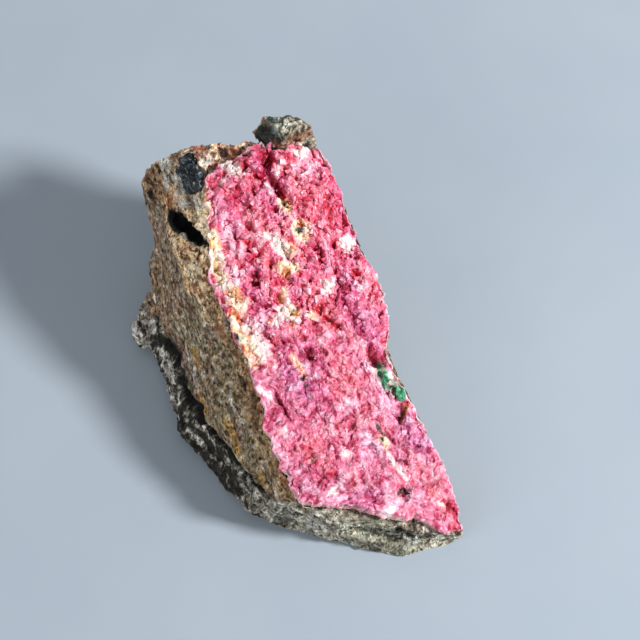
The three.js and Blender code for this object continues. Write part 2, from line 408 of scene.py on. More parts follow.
# Heights of the lines that run along the rock's left side: (y, z) from its front to its back.
CREST_LINE = ((-21, 2.6), (-9.5, 3.0), (12, 3.0), (22.5, 4.2))
GROOVE_LINE = ((-26, 9.8), (-20, 9.0), (-11, 8.3), (-4, 6.2), (1.4, 5.4), (8, 4.9), (15, 4.6), (26, 5))
TOE_LINE = ((-26, 10.6), (-20, 9.8), (-11, 9.3), (-4, 7.4), (1.4, 6.8), (8, 6.4), (15, 6), (27, 6.2))
BREAK_LINE = ((-26, 11.5), (-14, 14.5), (-4, 18), (8.5, 22.6), (18, 22), (24, 21.3), (32.5, 23), (40, 22))
DECK_LINE = ((-27.5, 14), (-15, 17.5), (-4, 21), (7.5, 25), (17, 28.6), (30.5, 32.4), (38, 30))

STONES = palette(
    olive=(150, 132, 100), taupe=(150, 124, 100), tan=(255, 210, 152), sand=(255, 238, 206),
    rust=(172, 96, 56), ochre=(182, 140, 62), brick=(190, 134, 112), chalk=(232, 228, 222),
    vein=(220, 222, 214), slate=(180, 174, 156), moss=(98, 104, 88), umber=(104, 66, 40),
    teal=(34, 58, 56), pitch=(48, 48, 43), soot=(36, 28, 22), ink=(14, 14, 14),
)

STAIN_STRENGTH = {"sand": 0.85, "rust": 0.45, "ochre": 0.6, "vein": 0.95, "chalk": 0.85, "ink": 0.9}

# Stains and veins in the rock, whose black entry is painted shade in pits and cracks: x, y, z, half length
# along the bedding and half width.
STAINS = {
    "rust": (
        (-8.4, 4.9, 21.5, 1.6, 0.9), (-15.8, 16.7, 7.2, 2.6, 1), (-15, -0.8, 8.2, 3, 1.3),
        (-3.4, 31, 30.4, 2.6, 0.8), (-6, -7, 18, 4, 0.8), (-5.8, -20.5, 14.2, 3.5, 1),
        (-9.5, 31.5, 25.5, 3, 1.4), (11.5, 32, 33.2, 1.2, 0.9),
    ),
    "ochre": (
        (-13.2, 6.3, 12.3, 2.4, 1.3), (-11.9, -10.6, 11.3, 5, 1.1), (-14.6, 0, 9.4, 3.6, 0.9),
        (-9.8, -20, 10.4, 3, 0.9), (-9.5, 15, 22.6, 3.5, 0.8),
    ),
    "sand": (
        (-4.8, 23.8, 28.6, 4.6, 1.6), (-8.4, 24, 25, 3.5, 1), (-8.6, 14.5, 24.2, 5, 0.6),
    ),
    "chalk": (
        (-14.5, 3.4, 10.1, 3.6, 1), (-14.3, 8, 9.8, 2.6, 0.5), (-10.1, -5.2, 15.3, 2.8, 0.5),
        (-9, -11.8, 14.6, 1, 0.5), (-15.7, 23.2, 6.8, 1, 0.5), (-13.6, 12, 13.5, 2, 0.3),
        (-16.9, -6.5, 4.6, 1.6, 0.9),
    ),
    "vein": (
        (-7.4, 36.4, 27.4, 4.5, 1.7), (-6.4, 31.6, 27.6, 3.4, 1.9), (-4.6, 29.2, 29.2, 2.6, 1.6),
        (-0.8, 34.3, 31.3, 1.3, 1.1),
    ),
    "ink": (
        (-13.7, 24.1, 13.9, 2.2, 0.35), (-12.2, 18.7, 17.4, 2.6, 0.3), (-13.3, 15.5, 15.4, 1.8, 0.3),
        (-11.2, 35.6, 22.4, 2.4, 0.8), (-7.5, -4, 18, 1.6, 0.45), (-6.6, -7.4, 17.4, 1.6, 0.5),
        (-5.9, 29.2, 28.2, 2, 0.8), (2.8, 35, 30.6, 1.3, 1), (-10.8, 35.9, 23.2, 1.4, 0.9),
        (-10.6, 38, 23.2, 1.2, 0.5), (10.4, -35.6, 6.6, 1, 1), (12, -36.3, 5, 1.4, 0.9),
        (14.6, -36.9, 3.2, 1.4, 1.1), (4.4, -32.8, 8.2, 0.6, 0.6),
    ),
}

# The open vug in the rock's left shoulder: spheres x, y, z and radius that its walls lie in.
VUG = (
    (-9, 29.4, 24.2, 1.3), (-8.6, 28.6, 24.2, 1.9), (-8, 27.4, 24, 2.4), (-7.3, 26, 24.2, 2.6),
    (-6.6, 24, 24.6, 2.4), (-6, 22, 26, 1.7), (-5.8, 20.2, 27.6, 1),
)

# Places where the rock's surface leaves its solid's: x, y, z, reach and the push there.
PUSHES = (
    (-9.5, 38, 25.5, 7, (-0.4, 0.9, 1.8)), (-3, 37.5, 31, 6, (0, 0.6, 0.7)),
    (5, 35.5, 31, 6, (0, 0.3, 0.8)), (8.5, 34.6, 32, 4, (0, 0.9, 0.9)), (-13.8, 29.5, 13, 5, (0.8, 0, 0)),
    (-14.8, 26.6, 11.5, 4.5, (1.3, 0, 0)), (-17.6, -1.8, 3.2, 5.5, (-1.2, 0, 0)),
    (-15.8, -12.4, 3.4, 4.5, (1.2, 0, 0)), (20.5, -1, 16.5, 6, (-1.2, 0, 0)),
    (11.6, 36, 35.2, 2.8, (-0.5, 1.1, 0.4)), (15, 35, 35.5, 5, (0, 0.6, 0.2)),
    (15.5, 31, 31, 3.4, (0, 1.2, -0.9)), (20, -8, 14.5, 7, (-1.3, 0, 0)),
    (18.5, -38.5, 1, 5, (0.9, -0.5, 0)),
)

# Ellipsoids around parts of the rock: their middles and radii.
KNOB = ((14.4, 33.7, 31.5), (5.4, 3.0, 4.5))
NODULE = ((-19.9, 19.3, 2.9), (3.3, 2.2, 3.0))
# FRONT_SHADE holds the painted shade in the hollow under the crust's lip at the front's right.
FRONT_SHADE = ((12.0, -36.5, 4.5), (6.0, 4.0, 3.5))


def line_at(line, places):
    """Values of a line of (place, value) pairs at any places, straight between the pairs."""
    return np.interp(places, *np.array(line).T)


def left_level(points):
    """How far up the left side a point is: 1 crest, 2 groove, 3 wall's toe, 4 break, 5 deck."""
    lines = (CREST_LINE, GROOVE_LINE, TOE_LINE, BREAK_LINE, DECK_LINE)
    y, z = points[:, 1], points[:, 2]
    heights = [np.zeros(len(points))] + [line_at(line, y) for line in lines]
    shares = [np.clip((z - low) / (high - low), 0, 1) for low, high in zip(heights, heights[1:])]
    return np.sum(shares, axis=0)


def bedded(points, along=6.0, across=4.0):
    """Points with the rock's bedding squeezed, so that noise over them runs along the beds."""
    return np.stack([points @ BED_ALONG / along, points @ BED_ACROSS / across, points @ BED_THROUGH], 1)


def within(points, centre, radii):
    """1 at the middle of an ellipsoid, 0 at its surface and less outside it."""
    return 1 - np.linalg.norm((points - np.array(centre)) / np.array(radii), axis=1)


def stain(points, place):
    """How far points lie inside a stain that runs along the bedding."""
    away = points - np.array(place[:3])
    along = away @ BED_ALONG
    rest = np.linalg.norm(away - along[:, None] * BED_ALONG, axis=1)
    return 1 - np.hypot(along / place[3], rest / place[4])


def in_vug(points):
    """How far points lie inside the vug, in shares of its spheres' radii."""
    return np.max([within(points, place[:3], (place[3],) * 3) for place in VUG], axis=0)


def groove_distance(points, level):
    """How far points lie from the groove's middle, in shares of its half width."""
    y = points[:, 1]
    middle = np.interp(y, (-22, -18, -6, 0), (2.1, 2.4, 2.5, 2.65))
    half = np.interp(y, (-20, -8, 2), (0.3, 0.4, 0.6))
    return np.abs(level - middle) / half


def rock_zones(points, normals):
    """How far up the left side each point is, and its share, 0 to 1, in each zone of the rock."""
    y, z = points[:, 1], points[:, 2]
    wander = 0.25 * field(points, 2.5, 41, 2)
    level = left_level(points) + 0.5 * wander
    left = ramp(normals[:, 0], -0.15, -0.45) * ramp(y + 4 * wander, -29, -27)
    shoulder = left * ramp(level, 3.93, 4.03) * ramp(y + 6 * wander, 3, 7)
    back = ramp(y + 4 * wander, 19.5, 21.5)
    run = ramp(y, 17, 14) * ramp(y, -25, -22)
    knob = ramp(within(points, *KNOB), -0.12, 0.02)
    rim = ramp(y + wander, 31.5, 33) * ramp(z, 28.5, 30) * (1 - knob)
    turned = np.maximum(ramp(normals[:, 0], 0.3, 0.7), ramp(normals[:, 1], 0.3, 0.7))
    return {
        "level": level,
        "shoulder": shoulder,
        "wall": left * ramp(level + 1.6 * back, 2.7, 3.1) * (1 - shoulder),
        "groove": left * run * ramp(groove_distance(points, level), 1.0, 0.4),
        "seam": left * ramp(level, 2.6, 2.2) * (1 - back),
        "knob": knob,
        "nodule": ramp(within(points, *NODULE), -0.15, 0.0),
        "rim": rim,
        "front": (1 - left) * ramp(normals[:, 1], 0.3, -0.1),
        "away": turned * (1 - knob) * (1 - rim),
    }


def rock_relief(points, zones):
    """The rock's relief in millimetres: beds, ledges, grains, pits and the groove."""
    beds = field(bedded(points), 1.3, 51, 3)
    course = points @ BED_THROUGH + 0.8 * field(points, 6, 52, 2)
    ledge = np.abs((course / LEDGE_STEP) % 1 - 0.35) * 2
    near, second = cells(points, 2.4, 53)
    broken = 0.7 * ramp(second - near, 0.0, 0.35) - 0.4
    grains = field(points, 1.1, 54, 3)
    coarse = field(points, 3.5, 55, 2)
    wall = 0.14 * beds + 0.2 * grains + 0.25 * coarse
    rough = 0.45 * ledge + 0.5 * broken + 0.22 * grains + 0.3 * coarse - 0.3
    sugar = 0.35 * grains + 0.3 * coarse + 0.3 * broken
    lumpy = 0.35 * broken + 0.25 * grains
    smooth = np.clip(zones["wall"], 0, 1)
    grainy = np.clip(zones["shoulder"] + zones["rim"], 0, 1) * (1 - smooth)
    round_parts = np.clip(zones["knob"] + zones["nodule"], 0, 1) * (1 - smooth) * (1 - grainy)
    rest = 1 - smooth - grainy - round_parts
    relief = smooth * wall + grainy * sugar + round_parts * lumpy + rest * rough
    relief -= GROOVE_DEPTH * zones["groove"] * ramp(field(points, 5, 56, 2), -0.9, -0.2)
    for place in STAINS["ink"]:
        relief -= PIT_DEPTH * ramp(stain(points, place), -0.1, 0.5)
    return relief - VUG_DEPTH * ramp(in_vug(points), 0.2, 0.6)


def rock_tones(points, zones):
    """The rock's colour at each point."""
    beds = field(bedded(points, 3, 2), 1.1, 61, 3)
    clouds = field(points, 5, 62, 3)
    fine = field(points, 1.2, 63, 2)
    grit = field(points, 1.0, 65, 3, 0.8)
    noises = (beds, clouds, fine, grit)
    layers = (
        ("moss", 0.8, clouds + 0.5 * beds, 0.0, 0.4),
        ("vein", 0.8, beds + 0.5 * grit, 0.2, 0.45),
        ("soot", 0.8, grit + 0.4 * beds, -0.3, -0.5),
        *front_layers(points, zones, noises),
        ("olive", zones["away"], clouds + 0.3 * fine, -0.5, 0.5),
        *wall_layers(points, zones["wall"], noises),
        *shoulder_layers(points, zones["shoulder"], noises),
        *seam_layers(points, zones, noises),
        *rim_layers(zones["rim"], noises),
        *knob_layers(points, zones["knob"], noises),
        *stain_layers(points, noises),
        # Painted shade: black in the vug's hollow and along the groove.
        ("ink", 1.0, in_vug(points) + 0.15 * fine, -0.02, 0.08),
        ("ink", zones["groove"]),
    )
    return layered(np.array([STONES["slate"]]), STONES, layers)


def front_layers(points, zones, noises):
    """The broken front: mossy in its middle, chalky at its left, brown under the crust's lip and darkened
    with painted shade in the hollow at its right.
    """
    beds, _, fine, grit = noises
    x, front = points[:, 0], zones["front"]
    lip = front * ramp(zones["under"], 0.25, 0.6)
    shade = ramp(within(points, *FRONT_SHADE) + 0.3 * fine, 0.0, 0.3)
    return (
        ("moss", 0.45 * front * ramp(x, -1, 4), x, 16, 12),
        ("chalk", 0.3 * front, x, 0, -3),
        ("umber", 0.35 * lip, grit + beds, -0.3, 0.3),
        # Painted shade in the hollow under the crust's lip.
        ("soot", 0.85 * shade, beds + grit, 0.4, 0.0),
    )


def wall_layers(points, wall, noises):
    """The left wall: olive and taupe, speckled, with tan and brown below the crust's edge."""
    beds, clouds, fine, grit = noises
    y, z = points[:, 1], points[:, 2]
    back = ramp(y + 10 * clouds, 6, 18)
    ledge = z - line_at(BREAK_LINE, y)
    below = z - line_at(DECK_LINE, y) + 0.8 * fine
    margin = wall * ramp(below, -4.0, -2.0) * ramp(y, 14, 6)
    return (
        ("olive", wall),
        ("taupe", wall, clouds, -0.1, 0.4),
        ("brick", 0.2 * wall * back),
        ("vein", 0.5 * wall, grit + 0.4 * beds, 0.25, 0.5),
        ("moss", 0.35 * wall * ramp(ledge, -7, -0.5) * back),
        ("tan", 0.5 * wall * ramp(below, -5.0, -1.5), y, 12, 6),
        ("umber", 0.7 * margin, fine + grit, -0.3, 0.1),
        ("umber", 0.7 * wall, fine - 0.4 * beds, 0.35, 0.55),
        ("soot", 0.8 * wall, grit + 0.3 * beds, -0.35, -0.55),
    )


def shoulder_layers(points, shoulder, noises):
    """The golden, granular shoulder above the wall, whose tan and sand are partly its own colour and
    partly painted sunlight, and its browner top corner.
    """
    beds, clouds, fine, grit = noises
    y = points[:, 1]
    corner = shoulder * ramp(y + 4 * clouds, 27, 31)
    below = points[:, 2] - line_at(DECK_LINE, y) + fine
    margin = ramp(below, -4.2, -2.8) * (shoulder * ramp(y, 18.5, 15.5))
    return (
        # Tan and sand: the shoulder's own golden colour, made brighter as painted sunlight.
        ("tan", shoulder),
        ("sand", 0.9 * shoulder, grit + 0.4 * clouds, -0.1, 0.25),
        ("rust", 0.6 * shoulder, fine - 0.5 * clouds, 0.15, 0.5),
        ("brick", 0.6 * corner, fine, -0.2, 0.2),
        ("taupe", 0.8 * corner, beds, 0.2, -0.3),
        ("umber", 0.35 * corner, grit + clouds, -0.3, 0.2),
        ("umber", 0.85 * margin, fine + grit, -0.3, 0.2),
        ("umber", 0.75 * shoulder, grit, -0.2, -0.4),
        ("soot", 0.9 * shoulder, grit + 0.3 * fine, -0.45, -0.7),
    )


def seam_layers(points, zones, noises):
    """The pitch-dark seam at the rock's left foot, its pale band and its pale nodule."""
    beds, _, fine, _ = noises
    y, nodule = points[:, 1], zones["nodule"]
    mottle = field(bedded(points, 2.5, 1.5), 1.0, 64, 4, 0.75)
    seam = np.clip(zones["seam"] + nodule, 0, 1)
    band = np.interp(y, (-21, -9, -2, 12), (1.75, 1.95, 1.6, 1.3))
    near = ramp(np.abs(zones["level"] - band), 0.6, 0.15)
    pale = mottle + 0.4 * near + 0.8 * nodule - 0.25 * ramp(y, 6, -4)
    return (
        ("pitch", seam, y + 8 * fine, -25, -18),
        ("teal", 0.6 * seam * ramp(y, 2, 8), fine, 0.0, 0.3),
        ("slate", 0.7 * seam, pale, 0.15, 0.5),
        ("chalk", 0.8 * seam, pale + 0.3 * beds, 0.45, 0.7),
        ("soot", 0.9 * seam, fine - 0.4 * mottle - 0.3 * near, 0.25, 0.45),
    )


def rim_layers(rim, noises):
    """The rusty rim of rock behind the crust."""
    beds, clouds, fine, grit = noises
    return (
        ("brick", rim),
        ("rust", 0.6 * rim, fine, 0.15, 0.5),
        ("taupe", 0.7 * rim, fine + 0.6 * clouds, -0.1, -0.4),
        ("sand", 0.6 * rim, beds, 0.1, 0.4),
        ("soot", 0.8 * rim, grit, -0.25, -0.45),
    )


def knob_layers(points, knob, noises):
    """The knob: grey-green above, painted shade in dark teal on its left, and brown below that is partly
    its rusty colour and partly painted shade.
    """
    _, _, fine, grit = noises
    away = points - np.array(KNOB[0])
    # Brown below: partly the knob's rusty colour, partly painted shade on its lower part.
    brown = knob * ramp(away[:, 2] + fine, 3.4, 2.4)
    return (
        ("slate", knob),
        ("moss", 0.8 * knob, fine, -0.1, 0.2),
        ("vein", 0.6 * knob, grit, 0.2, 0.5),
        ("taupe", brown),
        ("brick", 0.8 * brown, fine + grit, -0.1, 0.3),
        ("umber", 0.8 * brown, grit - 0.5 * fine, 0.1, 0.4),
        # Painted shade: dark teal on the knob's left side.
        ("teal", 0.9 * knob, away[:, 0] + 1.5 * fine, -1.0, -2.0),
        ("soot", 0.9 * knob, grit, -0.1, -0.35),
    )


def stain_layers(points, noises):
    """The stains and veins, and the black painted shade in pits and cracks; the pale ones are broken up by
    patches of bare rock.
    """
    _, clouds, fine, grit = noises
    broken = 0.2 + 0.75 * ramp(clouds + 0.9 * fine + 0.6 * grit, -0.2, 0.1)
    for name, strength in STAIN_STRENGTH.items():
        for place in STAINS[name]:
            share = strength * ramp(stain(points, place) + 0.4 * fine, -0.1, 0.3)
            yield name, (share * broken if name in ("vein", "chalk") else share)


def rock_finish():
    """The painted tones with grains, flecks and pits, but plain where the tone is near black."""
    finish = Finish("rough_rock", tilt=-BED_DIP, Specular_IOR_Level=0.3)
    colour = finish.read("tone", "Color")
    clouds = finish.noise(1.6, 5, 0.75)
    colour = finish.mix(1.0, colour, finish.steps(clouds, (0.38, 0.5), (0.62, 1.5)), "MULTIPLY")
    grains = finish.steps(finish.grains(0.4, "Color"), (0.15, 0.55), (0.85, 1.45))
    colour = finish.mix(0.9, colour, grains, "MULTIPLY")
    flecks = finish.noise(0.7, 4, 0.75, stretch=(1, 1.6, 1))
    colour = finish.mix(1.0, colour, finish.steps(flecks, (0.57, 1.0), (0.64, 1.7)), "MULTIPLY")
    pits = finish.noise(0.6, 4, 0.75, stretch=(1, 2, 1))
    colour = finish.mix(finish.steps(pits, (0.56, 0.0), (0.6, 0.95)), colour, srgb(30, 20, 14))
    dim = finish.math("LESS_THAN", finish.read("dark"), 0.5)
    colour = finish.mix(dim, finish.read("tone", "Color"), colour)
    finish.give("Base Color", colour)
    finish.give("Roughness", finish.steps(pits, (0.3, 0.6), (0.7, 0.95)))
    finish.bump(finish.noise(0.6, 5, 0.75), 0.45)
    return finish.material


def covered(points):
    """Whether the crystal crust lies above each point."""
    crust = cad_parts[DRUSE].data
    corners = [tuple(face.vertices) for face in crust.polygons]
    tree = BVHTree.FromPolygons([vertex.co for vertex in crust.vertices], corners)
    up = Vector((0, 0, 1))
    return np.array([tree.ray_cast(Vector(p) * MM, up)[0] is not None for p in points.tolist()], float)


def make_rock():
    piece = remeshed(ROCK, "host_rock", ROCK_VOXEL)
    mesh = piece.data
    edges = edges_of(mesh)
    points = blurred(points_of(mesh), edges, 3)
    move_points(mesh, points)
    outward = unit(blurred(normals_of(mesh), edges, 10))
    zones = rock_zones(points, outward)
    under = blurred(covered(points) * ramp(outward[:, 2], 0.3, 0.6), edges, 4)
    zones["under"] = under
    relief = rock_relief(points, zones) * ramp(points[:, 2], 0.0, 0.8) * (1 - under)
    points = points + outward * relief[:, None]
    for x, y, z, reach, push in PUSHES:
        share = ramp(within(points, (x, y, z), (reach,) * 3), 0, 0.8) * (1 - under)
        points += share[:, None] * np.array(push)
    points[:, 2] -= ROCK_SINK * ramp(under, 0.6, 1.0)
    points[:, 2] = np.maximum(points[:, 2], 0)
    move_points(mesh, points)
    colours = np.clip(rock_tones(points, zones), 0, 1)
    paint(mesh, "tone", colours)
    paint(mesh, "dark", ramp(colours.max(1), 0.03, 0.01))
    box_map(mesh, outward)
    finish_piece(piece, ROCK, rock_finish())


# ---------------- the crystal crust

PINKS = palette(
    salmon=(233, 136, 157), rose=(222, 108, 145), magenta=(206, 90, 136), coral=(234, 124, 138),
    mauve=(216, 134, 178), blush=(250, 202, 220), white=(254, 240, 238), cream=(252, 230, 202),
    orange=(206, 116, 52), umber=(120, 58, 26), soot=(46, 42, 40), moss=(176, 190, 172),
    green=(24, 128, 88),
)

# Patches of the crust's surface: x, y, half length, half width and heading from +X in degrees.
PATCHES = {
    "coral": (
        (11, 4.5, 5, 3.4, 100), (9, -9, 6, 3.6, 105), (15, 20, 7, 3, 110), (19.6, -34, 4, 1.6, 110),
        (1.6, 12, 2.6, 2, 60), (1, -20, 4, 2, 105),
    ),
    "mauve": (
        (1.9, -7, 4, 2.4, 105), (17, 0.4, 5, 2.6, 100), (18.6, -21, 5, 1.8, 110), (-1, 22, 4.5, 2.4, 95),
        (6, -30, 4, 2, 10),
    ),
    "magenta": (
        (8.5, 28, 4.5, 2, 110), (8, 22.5, 4, 1.2, 115), (15.5, 5.5, 3.5, 2, 60), (0.5, 11, 3, 1.6, 70),
        (-1, 7, 2.5, 1.2, 110), (5.8, -4, 3.5, 2, 110), (5, -11, 4, 1.6, 95), (2, -1.5, 2.5, 1.5, 40),
        (6.5, -30.5, 2.4, 1.4, 0), (16.5, -1, 3, 1.2, 100),
    ),
    "blush": (
        (16.5, 28, 2.8, 2, 0), (8, 25, 2.4, 0.6, 80), (-2, 20, 2.5, 1.2, 60), (-4, 13.5, 3, 1.6, 100),
        (-4.5, 7, 2.6, 1.4, 110), (-1.2, 3, 2.4, 1.5, 40), (-4.5, -8, 1.8, 0.7, 130),
        (9.3, -13.6, 2, 1.4, 20), (17.5, -10.5, 2.2, 1.4, 60), (15.5, -15, 2, 1, 60),
        (5, -7.5, 1.2, 0.5, 0), (-5.5, -18, 2.2, 0.6, 110), (0.5, -28, 2.6, 0.9, -20),
        (10.5, -32.5, 2.4, 1, 10), (2.5, -14.4, 1.2, 0.3, 20), (10, -20, 1.8, 1.2, 30),
    ),
    "white": (
        (2.8, 30.8, 2.4, 1.3, 110), (0.6, 29, 0.8, 0.5, 40), (15.8, 30.3, 1.6, 0.8, 10),
        (10.6, 27.6, 1.3, 0.5, 50), (18.8, 13.4, 1.5, 1.1, 30), (6.4, 15.3, 2.8, 1.1, -52),
        (12.5, 7, 1.5, 1, 40), (3.2, 4.2, 2.4, 1.2, 40), (-3.2, 0.4, 3.8, 1.7, 104),
        (-4.6, -8.2, 1.6, 0.4, 130), (-3.8, -15, 0.9, 0.8, 0), (5.6, -21.6, 1, 0.9, 0),
        (1, -27.2, 1.1, 0.8, 20), (13.8, -25.5, 2.6, 0.5, 108), (10, -33, 1, 0.6, 30),
        (19.6, -33.9, 0.6, 0.7, 60), (-0.7, -21, 0.4, 0.6, 90), (20.4, -14.4, 0.5, 0.5, 0),
        (-4.9, 17, 3.4, 1.2, 100), (16.3, -9.8, 2.2, 0.8, 110), (18.6, -10.6, 1.4, 0.6, 110),
        (-5.6, 11.5, 1.6, 0.8, 100),
    ),
    "cream": (
        (-4.4, 0.6, 2.8, 0.9, 104), (-5, 19.5, 3.6, 1.1, 100), (-5.6, 14.5, 3.4, 0.9, 95),
        (-5.6, 4, 2.4, 0.8, 100), (-3.8, 27, 3.6, 0.6, 96), (-4.2, 8.8, 2.8, 1.5, 110),
        (9.7, 21.6, 1.6, 1.1, 110), (10.9, 17, 1.9, 1.7, 0), (6.6, 11.4, 1.9, 1.2, -20),
        (4.8, 3.6, 1.6, 1.2, 90), (-5.6, -0.6, 2.6, 0.8, 104), (2.7, -4.6, 2.2, 0.6, 105),
        (13.1, -21, 1.4, 0.9, 110), (8.2, 2.9, 1, 0.8, 0), (8.2, 14.3, 1.4, 0.9, -50),
        (4.2, 7.2, 1.3, 0.8, 60),
    ),
    "orange": (
        (-3.8, 9, 1.6, 0.7, 120), (-5, 6, 1.4, 0.5, 110), (8.5, 14.2, 0.9, 0.4, -50),
        (6.4, 10.8, 0.8, 0.6, 0), (11.6, 18.3, 1.2, 0.5, 100), (0.5, 3.7, 0.4, 0.6, 90),
        (2.7, -4.9, 1.6, 0.25, 105), (-5.9, -0.4, 1.5, 0.7, 104), (19.6, -15.8, 0.8, 0.5, 40),
        (-6.6, 3.6, 1, 0.6, 110), (4, 1.9, 0.9, 0.3, 0),
    ),
    "umber": (
        (18.4, -16.9, 1.8, 0.6, 45), (-6.2, -1.6, 0.9, 0.4, 100),
    ),
    "soot": (
        (10.9, 17, 0.65, 0.55, 0), (9.7, 22, 0.55, 0.5, 100), (4.9, 4.1, 0.5, 0.35, 30),
        (2.7, -7.2, 0.6, 0.3, 20), (3, -8.6, 0.4, 0.35, 0), (6.5, -8.4, 0.3, 0.2, 0),
        (13, -18.6, 1.1, 0.3, 100), (13.7, -20, 0.5, 0.3, 30), (12.9, -20.6, 0.6, 0.25, 100),
        (12.5, -30.3, 0.6, 0.25, 50), (13.4, -29.7, 0.6, 0.28, 0), (14.1, -30.6, 0.8, 0.3, -80),
        (13.5, -31.8, 0.4, 0.25, 40), (-6.2, 2.6, 0.7, 0.3, 100),
    ),
    "moss": (
        (17.4, -8.7, 1.5, 0.8, 70), (18.2, -12.2, 1.5, 1, 20), (17.8, -10.4, 0.8, 0.5, 0),
        (-5.4, 2.2, 0.9, 0.5, 30),
    ),
    "green": (
        (16.9, -8.3, 1.6, 0.5, 80), (17.2, -11.6, 1, 0.5, 150), (18.8, -13, 1.2, 0.9, 110),
    ),
}

# Hollows of the crust: x, y, half length, half width, heading and depth.
HOLLOWS = (
    (9.4, 30.8, 2.4, 1.6, 100, 1.7), (9.6, 24.8, 4.2, 1, 108, 1.7), (7.2, 27.4, 1.8, 0.8, 140, 1.3),
    (5.2, 30.4, 1.4, 0.9, 60, 1.2), (5, 25.6, 1.3, 0.8, 80, 0.9), (-3.4, 14.6, 1.3, 0.9, 70, 0.9),
    (0.8, 16.6, 1.3, 0.9, 60, 1.2), (0.3, 10.9, 1.8, 1.2, 60, 1.4), (3.4, 6.8, 1.5, 0.8, 60, 1.1),
    (9.8, 3.8, 1.2, 0.8, 60, 1.3), (11.2, 1.2, 3, 0.6, 130, 1.3), (13.1, 12, 1.4, 0.8, 70, 1),
    (16.7, 13.6, 1, 0.6, 90, 0.9), (5.6, -3.6, 1.6, 1, 100, 1.1), (17.2, -6, 2.4, 1.2, 110, 1.6),
    (-2.7, -10.4, 3.2, 0.7, 105, 1.3), (18.1, 3.5, 1.4, 0.7, 60, 0.9), (14.6, 3.4, 1.6, 0.5, 110, 0.9),
    (-0.8, -21, 1.3, 1.3, 0, 0.8), (14.5, -20.5, 1.6, 0.6, 110, 0.7), (8.4, -17, 1.2, 0.7, 60, 0.9),
    (18.3, -17, 1.8, 0.7, 60, 1.2), (20.2, -34.5, 2.2, 0.6, 120, 0.8), (2.4, -25, 1.4, 0.6, 80, 0.7),
    (13.3, -30.6, 1.2, 1, 60, 0.9),
)

# Where the crust's edges leave its solid's: x along the edge and the moves there in y and z.
FRONT_EDGE = (
    (-6, 0.3, 0), (-1, 1.2, 0), (4, 2.2, 0), (9, 1.6, 0), (12, 1.5, 0), (14, 2.6, 0), (16, 1.4, -0.4),
    (18, 0, -0.8), (20, 0.8, -0.4), (22, 1.4, 0),
)
BACK_EDGE = (
    (1, 0, 0), (4, -0.8, 0), (7, -1, 0), (10, 0.2, 0.2), (12.5, 1.5, 0.6), (16, 1.9, 0.6), (18, 0.5, -0.2),
    (20, -0.5, -0.4),
)

# The same for its right edge: y along the edge and the move there in x.
RIGHT_EDGE = (
    (-39, 0.2), (-35, 0.4), (-30, 0), (-23, -0.4), (-15, -0.6), (-11, -1.2), (-6, -1.4), (-3, 0), (0, 0.9),
    (4, 0.9), (8, 0.2), (12, -0.8), (17, -0.8), (22, 0), (39, 0),
)

# Lines along the crust's ends, in x and y, and how far in from them its edges' moves reach.
FRONT_END = ((-6, -28), (21.5, -39.5))
FRONT_REACH = 6.5
BACK_END = ((1, 34), (19, 29))
BACK_REACH = 5.0


def inside(places, patch):
    """How far a place lies inside a patch: 1 at its middle, 0 on its edge, less outside."""
    x, y, length, width, heading = patch[:5]
    turn = math.radians(heading)
    dx, dy = places[:, 0] - x, places[:, 1] - y
    along = (dx * math.cos(turn) + dy * math.sin(turn)) / length
    across = (dy * math.cos(turn) - dx * math.sin(turn)) / width
    return 1 - np.hypot(along, across)


def hollow_depth(places):
    """How many millimetres deep the hollows are at each place."""
    depths = [hollow[5] * ramp(inside(places, hollow), -0.3, 0.7) for hollow in HOLLOWS]
    return np.max(depths, axis=0)


def crust_surface():
    """A smooth height over x and y for the crust's top, fitted to its solid's upper points."""
    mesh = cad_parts[DRUSE].data
    points = points_of(mesh)
    tops = points[normals_of(mesh)[:, 2] > 0.5]
    low, high = points[:, :2].min(0), points[:, :2].max(0)

    def powers(places):
        x, y = (2 * (places[:, :2] - low) / (high - low) - 1).T
        return np.stack([x**i * y**j for i in range(POWERS_OF_X) for j in range(POWERS_OF_Y)], 1)

    weights = np.linalg.lstsq(powers(tops), tops[:, 2], rcond=None)[0]
    return lambda places: powers(places) @ weights


def crust_relief(points):
    """Swells, grooves and hollows of the crust, in millimetres above its mean surface."""
    flat = points * (1, 1, 0)
    swells = 0.35 * field(flat, 7, 11, 2)
    mounds = 1.9 * (0.33 - np.abs(field(flat, 4.0, 12, 3, 0.45)))
    clefts = ramp(np.abs(field(flat, 4.2, 13, 3)), 0.12, 0.0)
    return swells + (mounds - clefts) * (1 - 0.6 * calm(points)) - hollow_depth(points)


def crust_ridges(points):
    """Sharp ridges between the crystals of the crust's base, in millimetres."""
    coarse = 0.33 - np.abs(field(points, 2.0, 15, 3))
    fine = 0.33 - np.abs(field(points, 0.9, 16, 2))
    return (coarse + 0.45 * fine) * (1 - 0.3 * calm(points))


def calm(points):
    """1 over the crust's lower part, which is smoother than its upper part, and 0 over that."""
    return ramp(points[:, 1], 8, -6)


def edge_moves(points):
    """How far each point of the crust moves so that its edges take their broken outline."""
    moves = np.zeros(points.shape)
    x, y = points[:, 0], points[:, 1]
    ends = (
        (FRONT_EDGE, y - line_at(FRONT_END, x), FRONT_REACH),
        (BACK_EDGE, line_at(BACK_END, x) - y, BACK_REACH),
    )
    for edge, away, reach in ends:
        along, out, up = np.array(edge).T
        near = ramp(away, reach, 0.5)
        moves[:, 1] += near * np.interp(x, along, out)
        moves[:, 2] += near * np.interp(x, along, up)
    moves[:, 0] += ramp(x, 13, 18) * line_at(RIGHT_EDGE, y)
    moves[:, 0] += 0.7 * field(points * (1, 1, 0), 2.2, 17, 3) * ramp(x, 4, -3)
    return moves


def patch_layers(places, names, strength, edge):
    """Layers for the patches of these colours, whose edges the noise in edge makes ragged."""
    for name in names:
        for patch in PATCHES[name]:
            yield name, strength, inside(places, patch) + edge, -0.25, 0.2


